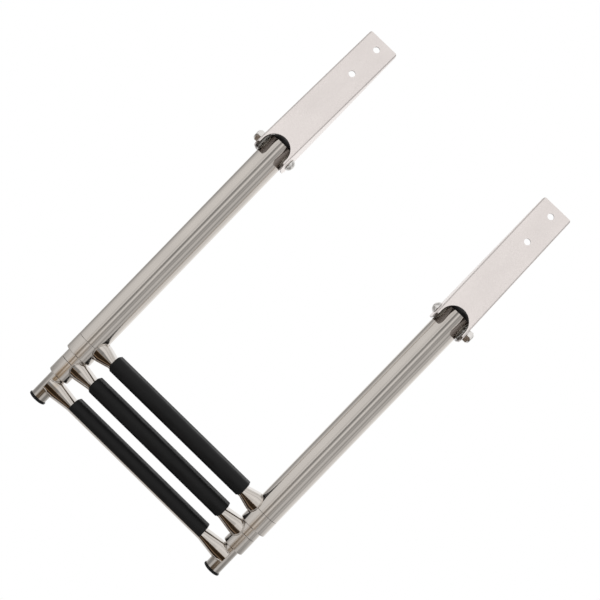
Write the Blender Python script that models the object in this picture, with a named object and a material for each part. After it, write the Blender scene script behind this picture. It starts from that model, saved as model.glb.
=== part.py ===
"""Fold-down boarding ladder for a boat, telescoping, with three rungs.

Two tapered channel brackets stay on the boat. Each carries a round rail on a cross bolt. A rail is
three stainless tubes, one inside the next, and each pair of tubes of one size carries a rung, so
that the outer, middle and inner sections slide out of each other. The ladder is drawn pushed
together, with the rails hanging straight down and the bracket webs raked like a transom.

Frame: X along the rungs, +Y away from the boat, +Z up along the rails. The origin is the middle of
the swing axis. Lengths are in metres.
"""
from collections import namedtuple
from math import asin, cos, pi, radians, sin, tan

import bmesh
import bpy
from mathutils import Matrix

MM = 0.001
SIDES = (("left", -1.0), ("right", 1.0))

# Rails
RAIL_OFFSET = 129.0 * MM          # middle of the ladder to each rail's axis
GAP = 0.3 * MM                    # between pieces that touch
OUTER_TOP = 10.0 * MM             # top of the outer tube above the swing axis

# Brackets
RAKE = radians(12.0)              # lean of the web, top away from the boat
BRACKET_WIDTH = 39.0 * MM
BRACKET_WALL = 2.0 * MM
BEND_RADIUS = 3.0 * MM            # outside of the bend
WEB_TO_PIVOT = 23.5 * MM          # web's outer face to the swing axis
BRACKET_TOP = 165.2 * MM          # along the web, above the swing axis
FLANGE_BACK = 16.0 * MM           # the flanges' back edge is level with the back of the rails
EAR_BOTTOM = 12.0 * MM            # below the swing axis
EAR_FRONT_RADIUS = 8.0 * MM
EAR_BACK_RADIUS = 11.0 * MM
NOTCH_RADIUS = 16.6 * MM          # round notch that lets the rail swing through the web
NOTCH_TOP = 11.0 * MM             # along the web, above the swing axis
TOP_CORNER_RADIUS = 2.5 * MM      # seen from the front
SCREW_HOLE_RADIUS = 3.75 * MM
SCREW_HOLE_HEIGHTS = (153.0 * MM, 114.0 * MM)

# Swing bolt, M8
BOLT_RADIUS = 4.0 * MM
BOLT_CLEARANCE = 0.4 * MM
HEAD_RADIUS = 6.8 * MM
HEAD_HEIGHT = 5.6 * MM
NUT_ACROSS_FLATS = 13.0 * MM
NUT_HEX_HEIGHT = 5.2 * MM
NUT_HEIGHT = 7.2 * MM
NUT_COLLAR_RADIUS = 5.7 * MM
STEEL_WASHER_RADIUS = 8.0 * MM
STEEL_WASHER_THICKNESS = 1.2 * MM
NYLON_WASHER_RADIUS = 10.0 * MM
NYLON_WASHER_THICKNESS = 0.9 * MM
SLEEVE_RADIUS = 6.0 * MM
SLEEVE_HALF_LENGTH = 12.8 * MM

# Telescoping joints
COLLAR_PROUD = 0.1 * MM           # collar's radius over its tube's radius
COLLAR_LIP = 2.0 * MM
LIP_CLEARANCE = 0.45 * MM         # between the lip and the tube that slides through it
COLLAR_CHAMFER = 0.8 * MM
COLLAR_BUSH_REACH = 12.0 * MM     # bush above the seam between tube and collar
GUIDE_BUSH_LENGTH = 16.0 * MM
GUIDE_BUSH_CAP = 2.0 * MM
GUIDE_BUSH_RIM = 1.2 * MM         # how far the cap reaches over the tube's end

# Rungs and their rubber treads
RUNG_WALL = 1.4 * MM
RUNG_FLAT_HEIGHT = 12.4 * MM      # where the rung's tube is pressed flat for the tread
FLARE_START = 96.5 * MM           # from the middle of the rung
COPE_MARGIN = 2.0 * MM            # the flare stops short of the cope, and the blank runs past it
TREAD_HALF_LENGTH = 96.0 * MM
TREAD_RADIUS = 9.0 * MM           # rounding of the tread's front and back
TREAD_RISE = 1.75 * MM            # tread's middle above the rung's middle
TREAD_SLOT = 9.0 * MM             # opening under the rung, where the tread is pushed on
SHORT_LIP_DROP = 2.85 * MM        # short front lip's edge below the rung's middle
LIP_CUT_LENGTH = 4.5 * MM         # slanted cut at each lower corner of a tread
LIP_CUT_TOP = 1.5 * MM            # below the rung's middle

# End caps
CAP_RADIUS = 10.0 * MM
CAP_EDGE = 1.4 * MM
CAP_DOME = 2.2 * MM
CAP_STEM = 10.0 * MM

# Fineness
RAIL_SEGMENTS = 36
BOLT_SEGMENTS = 24
BEND_STEPS = 4
EAR_STEPS = 8
DOME_STEPS = 4
STADIUM_STEPS = 10
SHARP_ANGLE = radians(30.0)

Section = namedtuple("Section", (
    "name rung radius wall top seam end rung_z rung_height rung_depth flat_depth"))
OUTER = Section("outer", "top", 16.0 * MM, 1.4 * MM, OUTER_TOP, -281.7 * MM, -301.5 * MM,
                -281.5 * MM, 20.5 * MM, 25.0 * MM, 27.0 * MM)
MIDDLE = Section("middle", "middle", 12.5 * MM, 1.2 * MM, -16.0 * MM, -311.9 * MM, -331.5 * MM,
                 -312.5 * MM, 18.6 * MM, 23.4 * MM, 27.0 * MM)
INNER = Section("inner", "bottom", 9.0 * MM, 1.2 * MM, -46.2 * MM, None, -362.0 * MM,
                -343.5 * MM, 18.4 * MM, 21.0 * MM, 24.0 * MM)

Finish = namedtuple("Finish", "colour roughness metallic")
POLISHED = Finish((0.76, 0.74, 0.72), 0.16, 1.0)
SATIN = Finish((0.82, 0.79, 0.77), 0.38, 1.0)
BRIGHT = Finish((0.70, 0.69, 0.68), 0.25, 1.0)
RUBBER = Finish((0.018, 0.018, 0.019), 0.75, 0.0)
BLACK_PLASTIC = Finish((0.012, 0.012, 0.013), 0.45, 0.0)
NYLON = Finish((0.80, 0.79, 0.75), 0.50, 0.0)


def clear_scene():
    """Remove every object of the open file."""
    for scene_object in list(bpy.data.objects):
        bpy.data.objects.remove(scene_object, do_unlink=True)


def make_material(name, finish):
    """Principled material of one sub-part."""
    material = bpy.data.materials.new(name)
    material.use_nodes = True
    shader = material.node_tree.nodes["Principled BSDF"]
    shader.inputs["Base Color"].default_value = (*finish.colour, 1.0)
    shader.inputs["Roughness"].default_value = finish.roughness
    shader.inputs["Metallic"].default_value = finish.metallic
    return material


def add_object(name, mesh_builder, finish=None, location=(0.0, 0.0, 0.0), rotation=(0.0, 0.0, 0.0)):
    """Object from a filled bmesh, shaded smooth with sharp edges where it turns."""
    bmesh.ops.recalc_face_normals(mesh_builder, faces=mesh_builder.faces)
    mesh = bpy.data.meshes.new(name)
    mesh_builder.to_mesh(mesh)
    mesh_builder.free()
    mesh.shade_smooth()
    mesh.set_sharp_from_angle(angle=SHARP_ANGLE)
    piece = bpy.data.objects.new(name, mesh)
    piece.location = location
    piece.rotation_euler = rotation
    bpy.context.collection.objects.link(piece)
    if finish:
        mesh.materials.append(make_material(name, finish))
    return piece


def add_boolean(piece, cutter, operation="DIFFERENCE"):
    """Cut or trim a piece with a cutter that is left out of the model."""
    cutter.hide_render = True
    cutter.display_type = "WIRE"
    boolean = piece.modifiers.new(cutter.name, "BOOLEAN")
    boolean.operation = operation
    boolean.solver = "EXACT"
    boolean.object = cutter


def arc(centre, radius, start, stop, steps):
    """Points of an arc, both ends included."""
    turn = (stop - start) / steps
    angles = [start + turn * step for step in range(steps + 1)]
    return [(centre[0] + radius * cos(angle), centre[1] + radius * sin(angle)) for angle in angles]


def join_loops(builder, loops):
    """Faces between each loop of vertices and the next, round the last one to the first."""
    count = len(loops[0])
    for first, second in zip(loops, loops[1:] + loops[:1]):
        for index in range(count):
            after = (index + 1) % count
            builder.faces.new((first[index], first[after], second[after], second[index]))


def turned_ring(profile, segments):
    """Closed ring turned about Z from a closed outline of (radius, height)."""
    builder = bmesh.new()
    angles = [2.0 * pi * index / segments for index in range(segments)]
    loops = []
    for radius, height in profile:
        loops.append([builder.verts.new((radius * cos(a), radius * sin(a), height)) for a in angles])
    join_loops(builder, loops)
    return builder


def turned_solid(profile, segments):
    """Solid turned about Z from an outline that starts and ends on the axis."""
    builder = bmesh.new()
    angles = [2.0 * pi * index / segments for index in range(segments)]
    loops = []
    for radius, height in profile[1:-1]:
        loops.append([builder.verts.new((radius * cos(a), radius * sin(a), height)) for a in angles])
    for first, second in zip(loops, loops[1:]):
        for index in range(segments):
            after = (index + 1) % segments
            builder.faces.new((first[index], first[after], second[after], second[index]))
    for (_, height), loop in ((profile[0], loops[0]), (profile[-1], loops[-1])):
        pole = builder.verts.new((0.0, 0.0, height))
        for index in range(segments):
            builder.faces.new((loop[index], loop[(index + 1) % segments], pole))
    return builder


def prism(outline, to_vertex, start, stop):
    """Straight solid with one outline at both ends; to_vertex places an outline point."""
    builder = bmesh.new()
    near = [builder.verts.new(to_vertex(point, start)) for point in outline]
    far = [builder.verts.new(to_vertex(point, stop)) for point in outline]
    builder.faces.new(near)
    builder.faces.new(list(reversed(far)))
    count = len(outline)
    for index in range(count):
        after = (index + 1) % count
        builder.faces.new((near[index], near[after], far[after], far[index]))
    return builder


def rod(radius, start, stop, segments):
    """Plain round bar along Z, used as a cutter."""
    angles = [2.0 * pi * index / segments for index in range(segments)]
    outline = [(radius * cos(angle), radius * sin(angle)) for angle in angles]
    return prism(outline, lambda point, height: (*point, height), start, stop)


def outward(sign):
    """Rotation that turns local +Z to point away from the middle of the ladder."""
    return (0.0, sign * pi / 2.0, 0.0)


# ---------------------------------------------------------------- brackets

def channel_outline():
    """Cross-section of the bent channel: X across the web, Y from the swing axis to the flanges."""
    half = BRACKET_WIDTH / 2.0
    bend_x = half - BEND_RADIUS
    bend_y = BEND_RADIUS - WEB_TO_PIVOT
    deep = BRACKET_WIDTH
    inner_radius = BEND_RADIUS - BRACKET_WALL
    outline = [(-half, deep)]
    outline += arc((-bend_x, bend_y), BEND_RADIUS, pi, 1.5 * pi, BEND_STEPS)
    outline += arc((bend_x, bend_y), BEND_RADIUS, 1.5 * pi, 2.0 * pi, BEND_STEPS)
    outline += [(half, deep), (half - BRACKET_WALL, deep)]
    outline += arc((bend_x, bend_y), inner_radius, 2.0 * pi, 1.5 * pi, BEND_STEPS)
    outline += arc((-bend_x, bend_y), inner_radius, 1.5 * pi, pi, BEND_STEPS)
    outline.append((BRACKET_WALL - half, deep))
    return outline


def front_of_web(height):
    """Y of the web's outer face at a height."""
    return -WEB_TO_PIVOT / cos(RAKE) + height * tan(RAKE)


def flange_outline():
    """Side view of a bracket (Y, Z): a tall wedge with an upright back and a rounded ear below."""
    apex_z = (FLANGE_BACK - front_of_web(0.0) + GAP) / tan(RAKE)
    corner_z = EAR_FRONT_RADIUS - EAR_BOTTOM
    corner_y = front_of_web(corner_z) - GAP + EAR_FRONT_RADIUS / cos(RAKE)
    back_centre = (FLANGE_BACK - EAR_BACK_RADIUS, EAR_BACK_RADIUS - EAR_BOTTOM)
    outline = [(FLANGE_BACK, apex_z)]
    outline += arc((corner_y, corner_z), EAR_FRONT_RADIUS, pi - RAKE, 1.5 * pi, EAR_STEPS)
    outline += arc(back_centre, EAR_BACK_RADIUS, 1.5 * pi, 2.0 * pi, EAR_STEPS)
    return outline


def notch_outline():
    """Arch-shaped notch in the web (X, height along the web), open at the bottom."""
    centre = (0.0, NOTCH_TOP - NOTCH_RADIUS)
    outline = [(-NOTCH_RADIUS, -BRACKET_WIDTH)]
    outline += [(NOTCH_RADIUS, -BRACKET_WIDTH)]
    outline += arc(centre, NOTCH_RADIUS, 0.0, pi, RAIL_SEGMENTS // 2)
    return outline


def top_corner_outline(direction):
    """What is cut off one top corner of the web (X, height along the web) to round it."""
    side_x = direction * BRACKET_WIDTH / 2.0
    centre = (side_x - direction * TOP_CORNER_RADIUS, BRACKET_TOP - TOP_CORNER_RADIUS)
    start = 0.0 if direction > 0.0 else pi
    outline = arc(centre, TOP_CORNER_RADIUS, start, 0.5 * pi, BEND_STEPS)
    outline.append((centre[0], BRACKET_TOP + GAP))
    outline.append((side_x + direction * GAP, BRACKET_TOP + GAP))
    outline.append((side_x + direction * GAP, centre[1]))
    return outline


def make_bracket(side, sign):
    """Bent channel with tapered flanges, rounded top, arched notch, screw holes and bolt holes."""
    location = (sign * RAIL_OFFSET, 0.0, 0.0)
    raked = (-RAKE, 0.0, 0.0)
    web_front = -WEB_TO_PIVOT - BRACKET_WALL
    web_back = 2.0 * BRACKET_WALL - WEB_TO_PIVOT
    half = BRACKET_WIDTH / 2.0
    blank = prism(channel_outline(), lambda p, z: (p[0], p[1], z), -BRACKET_WIDTH, BRACKET_TOP)
    bracket = add_object(side + "_bracket", blank, SATIN, location, raked)
    sides = prism(flange_outline(), lambda p, x: (x, p[0], p[1]), -BRACKET_WIDTH, BRACKET_WIDTH)
    add_boolean(bracket, add_object(side + "_flange_shape", sides, None, location), "INTERSECT")
    notch = prism(notch_outline(), lambda p, y: (p[0], y, p[1]), web_front, web_back)
    add_boolean(bracket, add_object(side + "_notch_cutter", notch, None, location, raked))
    for place, direction in (("low_x", -1.0), ("high_x", 1.0)):
        corner = prism(top_corner_outline(direction), lambda p, y: (p[0], y, p[1]),
                       -BRACKET_WIDTH, BRACKET_WIDTH)
        cutter = add_object("{}_{}_corner_cutter".format(side, place), corner, None, location, raked)
        add_boolean(bracket, cutter)
    for number, height in enumerate(SCREW_HOLE_HEIGHTS, 1):
        drill = rod(SCREW_HOLE_RADIUS, -BRACKET_WALL, BRACKET_WALL, BOLT_SEGMENTS)
        drill.transform(Matrix.Translation((0.0, BRACKET_WALL / 2.0 - WEB_TO_PIVOT, height))
                        @ Matrix.Rotation(pi / 2.0, 4, "X"))
        cutter = add_object("{}_screw_cutter_{}".format(side, number), drill, None, location, raked)
        add_boolean(bracket, cutter)
    bore = rod(BOLT_RADIUS + BOLT_CLEARANCE, -half - BRACKET_WALL, half + BRACKET_WALL, BOLT_SEGMENTS)
    add_boolean(bracket, add_object(side + "_ear_cutter", bore, None, location, outward(sign)))


def make_swing_bolt(side, sign):
    """Cross bolt: round head towards the rungs, washer and lock nut on the outside."""
    location = (sign * RAIL_OFFSET, 0.0, 0.0)
    ear = BRACKET_WIDTH / 2.0
    washer_start = ear + GAP
    nut_start = washer_start + STEEL_WASHER_THICKNESS + GAP
    head_base = -ear - GAP
    dome_radius = (HEAD_RADIUS ** 2 + HEAD_HEIGHT ** 2) / (2.0 * HEAD_HEIGHT)
    dome_centre = head_base - HEAD_HEIGHT + dome_radius
    edge_angle = asin(HEAD_RADIUS / dome_radius)
    profile = [(0.0, head_base - HEAD_HEIGHT)]
    for step in range(1, DOME_STEPS + 1):
        angle = edge_angle * step / DOME_STEPS
        profile.append((dome_radius * sin(angle), dome_centre - dome_radius * cos(angle)))
    profile += [(BOLT_RADIUS, head_base), (BOLT_RADIUS, nut_start + NUT_HEIGHT),
                (0.0, nut_start + NUT_HEIGHT)]
    bolt = turned_solid(profile, BOLT_SEGMENTS)
    add_object(side + "_pivot_bolt", bolt, BRIGHT, location, outward(sign))

    bore = BOLT_RADIUS + BOLT_CLEARANCE
    washer = turned_ring([(bore, washer_start), (STEEL_WASHER_RADIUS, washer_start),
                          (STEEL_WASHER_RADIUS, washer_start + STEEL_WASHER_THICKNESS),
                          (bore, washer_start + STEEL_WASHER_THICKNESS)], BOLT_SEGMENTS)
    add_object(side + "_nut_washer", washer, BRIGHT, location, outward(sign))
    add_object(side + "_pivot_nut", lock_nut(nut_start, bore), BRIGHT, location, outward(sign))


def hexagon_radius(angle):
    """Distance from the middle to a hexagon's side, for a nut."""
    sector = pi / 3.0
    from_flat = (angle + sector / 2.0) % sector - sector / 2.0
    return NUT_ACROSS_FLATS / 2.0 / cos(from_flat)


def lock_nut(start, bore):
    """Hexagon nut with the plain collar that holds its nylon ring."""
    builder = bmesh.new()
    angles = [2.0 * pi * index / BOLT_SEGMENTS for index in range(BOLT_SEGMENTS)]
    hexagon_top = start + NUT_HEX_HEIGHT
    stations = [(None, start), (None, hexagon_top), (NUT_COLLAR_RADIUS, hexagon_top),
                (NUT_COLLAR_RADIUS, start + NUT_HEIGHT), (bore, start + NUT_HEIGHT), (bore, start)]
    loops = []
    for radius, height in stations:
        loop = []
        for angle in angles:
            reach = radius or hexagon_radius(angle)
            loop.append(builder.verts.new((reach * cos(angle), reach * sin(angle), height)))
        loops.append(loop)
    join_loops(builder, loops)
    return builder


def make_swing_bearing(side, sign):
    """Sleeve inside the rail and the two nylon washers that keep the rail off the ears."""
    location = (sign * RAIL_OFFSET, 0.0, 0.0)
    bore = BOLT_RADIUS + BOLT_CLEARANCE
    sleeve = turned_ring([(bore, -SLEEVE_HALF_LENGTH), (SLEEVE_RADIUS, -SLEEVE_HALF_LENGTH),
                          (SLEEVE_RADIUS, SLEEVE_HALF_LENGTH), (bore, SLEEVE_HALF_LENGTH)],
                         BOLT_SEGMENTS)
    add_object(side + "_pivot_sleeve", sleeve, BRIGHT, location, outward(sign))
    for place, direction in (("inner", -1.0), ("outer", 1.0)):
        near = direction * (OUTER.radius + GAP)
        far = near + direction * NYLON_WASHER_THICKNESS
        washer = turned_ring([(bore, near), (NYLON_WASHER_RADIUS, near),
                              (NYLON_WASHER_RADIUS, far), (bore, far)], BOLT_SEGMENTS)
        add_object("{}_{}_pivot_washer".format(side, place), washer, NYLON, location, outward(sign))


# ---------------------------------------------------------------- rails

def tube_bottom(section):
    """Lower end of a section's tube: the seam above its collar, or the open end over the cap."""
    if section.seam is None:
        return section.end
    return section.seam + GAP / 2.0


def make_tube(section, side, sign):
    """Rail tube; the outer one is drilled across for the swing bolt."""
    bottom = tube_bottom(section)
    bore = section.radius - section.wall
    ring = turned_ring([(section.radius, section.top), (section.radius, bottom),
                        (bore, bottom), (bore, section.top)], RAIL_SEGMENTS)
    name = "{}_{}_tube".format(side, section.name)
    tube = add_object(name, ring, POLISHED, (sign * RAIL_OFFSET, 0.0, 0.0))
    if section is OUTER:
        drill = rod(BOLT_RADIUS + BOLT_CLEARANCE, -2.0 * section.radius, 2.0 * section.radius,
                    BOLT_SEGMENTS)
        cutter = add_object(side + "_rail_cutter", drill, None,
                            (sign * RAIL_OFFSET, 0.0, 0.0), outward(sign))
        add_boolean(tube, cutter)


def make_collar(section, inside, side, sign):
    """Steel end collar with an inward lip, and the nylon bush that joins it to its tube."""
    location = (sign * RAIL_OFFSET, 0.0, 0.0)
    radius = section.radius + COLLAR_PROUD
    bore = section.radius - section.wall
    lip_bore = inside.radius + LIP_CLEARANCE
    top = section.seam - GAP / 2.0
    lip_top = section.end + COLLAR_LIP
    collar = turned_ring([(radius, top), (radius, section.end + COLLAR_CHAMFER),
                          (radius - COLLAR_CHAMFER, section.end), (lip_bore, section.end),
                          (lip_bore, lip_top), (bore, lip_top), (bore, top)], RAIL_SEGMENTS)
    add_object("{}_{}_collar".format(side, section.name), collar, POLISHED, location)
    bush_top = section.seam + COLLAR_BUSH_REACH
    bush = turned_ring([(bore - GAP, bush_top), (bore - GAP, lip_top + GAP),
                        (inside.radius + GAP, lip_top + GAP), (inside.radius + GAP, bush_top)],
                       RAIL_SEGMENTS)
    add_object("{}_{}_collar_bush".format(side, section.name), bush, NYLON, location)


def make_guide_bush(section, outside, side, sign):
    """Nylon cap on a tube's upper end; it runs in the tube outside and stops on the bush below."""
    outer = outside.radius - outside.wall - GAP
    over_tube = section.radius + GAP
    shelf = section.top + GAP
    top = shelf + GUIDE_BUSH_CAP
    skirt = section.top - GUIDE_BUSH_LENGTH
    rim = section.radius - GUIDE_BUSH_RIM
    bush = turned_ring([(outer, top), (outer, skirt), (over_tube, skirt), (over_tube, shelf),
                        (rim, shelf), (rim, top)], RAIL_SEGMENTS)
    add_object("{}_{}_guide_bush".format(side, section.name), bush, NYLON,
               (sign * RAIL_OFFSET, 0.0, 0.0))


def make_end_cap(side, sign):
    """Plastic plug with a domed foot, pushed into the inner tube's lower end."""
    stem_radius = INNER.radius - INNER.wall - GAP
    shoulder = INNER.end - GAP
    edge = shoulder - CAP_EDGE
    profile = [(0.0, shoulder + CAP_STEM), (stem_radius, shoulder + CAP_STEM),
               (stem_radius, shoulder), (CAP_RADIUS, shoulder)]
    for step in range(DOME_STEPS):
        angle = 0.5 * pi * step / DOME_STEPS
        profile.append((CAP_RADIUS * cos(angle), edge - CAP_DOME * sin(angle)))
    profile.append((0.0, edge - CAP_DOME))
    add_object(side + "_end_cap", turned_solid(profile, RAIL_SEGMENTS), BLACK_PLASTIC,
               (sign * RAIL_OFFSET, 0.0, 0.0))


# ---------------------------------------------------------------- rungs

def stadium(height, depth, rise=0.0):
    """Flat oval (Y, Z) with round front and back, starting below the front rounding."""
    radius = height / 2.0
    reach = depth / 2.0 - radius
    front = arc((-reach, rise), radius, 1.5 * pi, 0.5 * pi, STADIUM_STEPS)
    back = arc((reach, rise), radius, 0.5 * pi, -0.5 * pi, STADIUM_STEPS)
    return front + back


def make_rung(section):
    """Tube pressed flat under the tread, flared towards the rails and coped to fit round them."""
    cope_radius = section.radius + COLLAR_PROUD + GAP
    half_depth = section.rung_depth / 2.0
    cope_reach = max(cope_radius ** 2 - half_depth ** 2, 0.0) ** 0.5
    flare_end = RAIL_OFFSET - cope_radius - COPE_MARGIN
    end = RAIL_OFFSET - cope_reach + COPE_MARGIN
    stations = [(-end, section.rung_height, section.rung_depth),
                (-flare_end, section.rung_height, section.rung_depth),
                (-FLARE_START, RUNG_FLAT_HEIGHT, section.flat_depth),
                (FLARE_START, RUNG_FLAT_HEIGHT, section.flat_depth),
                (flare_end, section.rung_height, section.rung_depth),
                (end, section.rung_height, section.rung_depth)]
    builder = bmesh.new()
    loops = []
    for x, height, depth in stations:
        loops.append([builder.verts.new((x, y, z)) for y, z in stadium(height, depth)])
    for x, height, depth in reversed(stations):
        bore = stadium(height - 2.0 * RUNG_WALL, depth - 2.0 * RUNG_WALL)
        loops.append([builder.verts.new((x, y, z)) for y, z in bore])
    join_loops(builder, loops)
    rung = add_object(section.rung + "_rung", builder, POLISHED, (0.0, 0.0, section.rung_z))
    for side, sign in SIDES:
        cutter = rod(cope_radius, -section.rung_height, section.rung_height, RAIL_SEGMENTS)
        add_boolean(rung, add_object("{}_{}_cope_cutter".format(side, section.rung), cutter, None,
                                     (sign * RAIL_OFFSET, 0.0, section.rung_z)))


def tread_outline(flat_depth, short_lip):
    """Channel-shaped tread (Y, Z): thick on top, thin lips that clip under the rung."""
    inner_radius = RUNG_FLAT_HEIGHT / 2.0 + GAP
    reach = flat_depth / 2.0 - RUNG_FLAT_HEIGHT / 2.0
    lip = TREAD_SLOT / 2.0
    outer_start = 1.5 * pi
    inner_start = 1.5 * pi
    if short_lip:
        outer_start = pi + asin((SHORT_LIP_DROP + TREAD_RISE) / TREAD_RADIUS)
        inner_start = pi + asin(SHORT_LIP_DROP / inner_radius)
    outline = [] if short_lip else [(-lip, TREAD_RISE - TREAD_RADIUS)]
    outline += arc((-reach, TREAD_RISE), TREAD_RADIUS, outer_start, 0.5 * pi, STADIUM_STEPS)
    outline += arc((reach, TREAD_RISE), TREAD_RADIUS, 0.5 * pi, -0.5 * pi, STADIUM_STEPS)
    outline += [(lip, TREAD_RISE - TREAD_RADIUS), (lip, -inner_radius)]
    outline += arc((reach, 0.0), inner_radius, -0.5 * pi, 0.5 * pi, STADIUM_STEPS)
    outline += arc((-reach, 0.0), inner_radius, 0.5 * pi, inner_start, STADIUM_STEPS)
    if not short_lip:
        outline.append((-lip, -inner_radius))
    return outline


def make_tread(section):
    """Rubber tread pushed over the flat of a rung; the lowest one has a shorter front lip."""
    outline = tread_outline(section.flat_depth, section is INNER)
    location = (0.0, 0.0, section.rung_z)
    blank = prism(outline, lambda p, x: (x, p[0], p[1]), -TREAD_HALF_LENGTH, TREAD_HALF_LENGTH)
    tread = add_object(section.rung + "_rung_tread", blank, RUBBER, location)
    past_end = TREAD_HALF_LENGTH + LIP_CUT_LENGTH
    for side, sign in SIDES:
        slope = [(sign * past_end, -LIP_CUT_TOP), (sign * TREAD_HALF_LENGTH, -LIP_CUT_TOP),
                 (sign * (TREAD_HALF_LENGTH - LIP_CUT_LENGTH), -TREAD_RADIUS),
                 (sign * past_end, -TREAD_RADIUS)]
        corner = prism(slope, lambda p, y: (p[0], y, p[1]), -section.flat_depth, section.flat_depth)
        cutter = add_object("{}_{}_lip_cutter".format(side, section.rung), corner, None, location)
        add_boolean(tread, cutter)


def main():
    """Build the whole ladder."""
    clear_scene()
    for side, sign in SIDES:
        make_bracket(side, sign)
        make_swing_bolt(side, sign)
        make_swing_bearing(side, sign)
        for section in (OUTER, MIDDLE, INNER):
            make_tube(section, side, sign)
        make_collar(OUTER, MIDDLE, side, sign)
        make_collar(MIDDLE, INNER, side, sign)
        make_guide_bush(MIDDLE, OUTER, side, sign)
        make_guide_bush(INNER, MIDDLE, side, sign)
        make_end_cap(side, sign)
    for section in (OUTER, MIDDLE, INNER):
        make_rung(section)
        make_tread(section)


main()
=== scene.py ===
"""Telescoping boarding ladder for a boat: the visible pieces, their finishes and a plain studio.

Lengths are in metres. X runs along the rungs, +Y away from the boat, +Z up along the rails, and the
origin is the middle of the swing axis.
"""
from math import asin, cos, pi, radians, sin, tan

import bmesh
import bpy
from bpy.props import FloatProperty, FloatVectorProperty, IntProperty, PointerProperty
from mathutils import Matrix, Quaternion, Vector


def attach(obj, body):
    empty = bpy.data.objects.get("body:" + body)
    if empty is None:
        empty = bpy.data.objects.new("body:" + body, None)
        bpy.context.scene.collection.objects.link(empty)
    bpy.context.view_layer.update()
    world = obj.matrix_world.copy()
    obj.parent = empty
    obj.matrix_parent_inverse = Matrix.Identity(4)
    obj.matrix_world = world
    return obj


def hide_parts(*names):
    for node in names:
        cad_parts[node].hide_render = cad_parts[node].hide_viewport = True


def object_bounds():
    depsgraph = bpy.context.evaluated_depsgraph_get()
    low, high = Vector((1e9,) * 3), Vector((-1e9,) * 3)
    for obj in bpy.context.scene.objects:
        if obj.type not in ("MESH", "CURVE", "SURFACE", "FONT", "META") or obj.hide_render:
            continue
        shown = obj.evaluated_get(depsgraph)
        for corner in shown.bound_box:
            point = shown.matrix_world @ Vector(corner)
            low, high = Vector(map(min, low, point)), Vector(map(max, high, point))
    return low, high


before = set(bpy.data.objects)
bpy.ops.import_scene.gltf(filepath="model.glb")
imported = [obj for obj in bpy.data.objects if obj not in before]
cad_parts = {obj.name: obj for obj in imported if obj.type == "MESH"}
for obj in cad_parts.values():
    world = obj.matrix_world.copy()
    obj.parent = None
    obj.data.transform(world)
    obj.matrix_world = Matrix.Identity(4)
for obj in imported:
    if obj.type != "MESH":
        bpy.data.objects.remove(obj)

bl_info = {
    "name": "Boat boarding ladder",
    "version": (1, 0, 0),
    "blender": (4, 5, 0),
    "location": "3D View > Sidebar > Ladder",
    "description": "Builds the visible pieces of a telescoping boarding ladder round its frame",
    "category": "Add Mesh",
}

CAD_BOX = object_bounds()
MM = 0.001
SIDES = (-1.0, 1.0)
ALONG_RUNGS = Vector((1.0, 0.0, 0.0))
UP = Vector((0.0, 0.0, 1.0))

# Points closer than this are one point, and directions whose cosine is above FACING are alike.
MERGE = 1e-6
FACING = 0.9
SMOOTH_ANGLE = radians(35.0)

# Edges, fits and margins that are too small to be settings.
TURNED_EDGE = 0.15 * MM
NYLON_EDGE = 0.2 * MM
SOFT_EDGE = 0.3 * MM
SKIN = 0.02 * MM
BOLT_POINT = 0.6 * MM
STEM_CHAMFER = 0.8 * MM
CAP_RIM = 1.4 * MM
PLUG_FIT = 0.05 * MM
PLUG_STEM = 3.0 * MM
PLUG_INSET = 0.5 * MM
PLUG_RIM = 0.6 * MM
COPE_FIT = 0.15 * MM
COPE_NECK = 2.0 * MM
WELD_REACH = 0.1 * MM

# Steps of the round stretches.
BEND_STEPS = 8
EAR_STEPS = 12
ARCH_STEPS = 24
HEAD_STEPS = 10
DOME_STEPS = 12
FLARE_STEPS = 8
TREAD_END_STEPS = 5

SECTIONS = ("outer", "middle", "inner")
RUNG_OF = {"outer": "top", "middle": "middle", "inner": "bottom"}
BODY_OF = {section: section + "_section" for section in SECTIONS}


# ---------------------------------------------------------------- sizes read from the frame

def node_box(node, test=None):
    """Lowest and highest corner of a node, or of its vertices that pass a test."""
    points = [v.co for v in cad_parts[node].data.vertices if test is None or test(v.co)]
    lowest = Vector([min(p[axis] for p in points) for axis in range(3)])
    highest = Vector([max(p[axis] for p in points) for axis in range(3)])
    return lowest, highest


def rail_size(section):
    """Radius, top and bottom of a section's tube."""
    low, high = node_box("right_{}_tube".format(section))
    return (high.x - low.x) / 2.0, high.z, low.z


def rail_offset():
    """X of the right rail's axis."""
    low, high = node_box("right_outer_tube")
    return (low.x + high.x) / 2.0


RAIL_X = rail_offset()


# ---------------------------------------------------------------- settings

def length(name, description, default):
    """Length property whose default is in millimetres."""
    return FloatProperty(name=name, description=description, default=default * MM, min=0.0,
                         unit="LENGTH", precision=5)


def angle(name, description, default):
    """Angle property whose default is in degrees."""
    return FloatProperty(name=name, description=description, default=radians(default),
                         unit="ROTATION")


def colour(name, description, default):
    """Colour property."""
    return FloatVectorProperty(name=name, description=description, default=default, size=3,
                               min=0.0, max=1.0, subtype="COLOR")


def factor(name, description, default):
    """Number from 0 to 1."""
    return FloatProperty(name=name, description=description, default=default, min=0.0, max=1.0,
                         subtype="FACTOR")


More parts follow.
